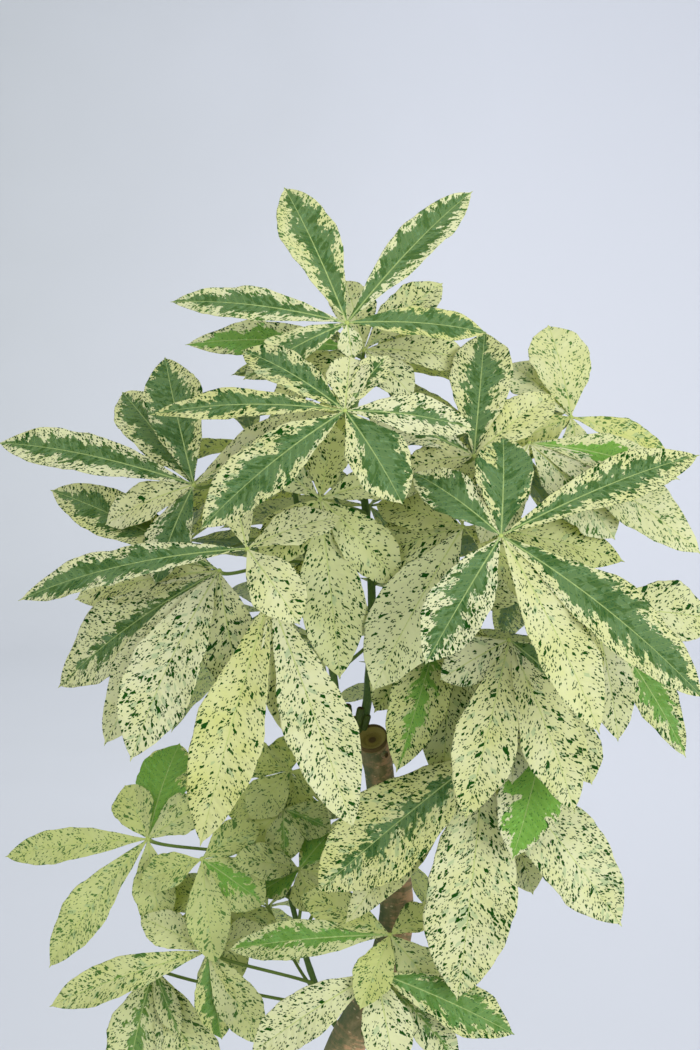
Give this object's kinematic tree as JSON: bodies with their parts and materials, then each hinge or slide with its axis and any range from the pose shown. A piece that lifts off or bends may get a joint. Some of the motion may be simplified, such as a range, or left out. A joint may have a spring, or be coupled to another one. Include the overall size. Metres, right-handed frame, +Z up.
{
  "type": "potted money tree",
  "caption": "Potted money tree with a cut woody trunk, green shoots and drooping palmate leaves variegated in cream and green, standing in a plain tapered pot of soil.",
  "frame": {"origin": "centre of the pot's flat base, on the surface it stands on", "axes": "+Z up; -Y towards the viewer, the plant's best side; +X to the viewer's right"},
  "size_m": [0.7484, 0.476, 1.3945],
  "materials": {
    "pot_clay": "matte",
    "potting_soil": "matte",
    "bark": "matte",
    "green_stem": "satin",
    "leaf": "satin"
  },
  "bodies": {
    "root": {"pot": "pot_clay", "soil": "potting_soil", "trunk": "bark", "main_shoot": "green_stem", "left_shoot": "green_stem", "lower_shoot": "green_stem", "low_twig": "green_stem", "back_foot_leaf": "leaf", "back_hanging_leaf": "leaf", "back_high_left_leaf": "leaf", "back_high_right_leaf": "leaf", "back_left_leaf": "leaf", "back_low_left_leaf": "leaf", "back_low_right_leaf": "leaf", "back_middle_leaf": "leaf", "back_right_leaf": "leaf", "back_top_leaf": "leaf", "back_trunk_leaf": "leaf", "crown_leaf": "leaf", "curled_leaf": "leaf", "hanging_leaf": "leaf", "left_front_leaf": "leaf", "left_leaf": "leaf", "left_low_leaf": "leaf", "long_leaf": "leaf", "low_back_leaf": "leaf", "low_bright_leaf": "leaf", "low_dark_leaf": "leaf", "low_edge_leaf": "leaf", "low_far_leaf": "leaf", "low_front_leaf": "leaf", "low_left_leaf": "leaf", "low_middle_leaf": "leaf", "low_right_leaf": "leaf", "low_small_leaf": "leaf", "middle_leaf": "leaf", "right_back_leaf": "leaf", "right_front_leaf": "leaf", "right_green_leaf": "leaf", "right_inner_leaf": "leaf", "right_low_leaf": "leaf", "right_shade_leaf": "leaf", "right_stripe_leaf": "leaf", "right_upper_leaf": "leaf", "top_back_leaf": "leaf", "top_leaf": "leaf"}
  },
  "joints": []
}
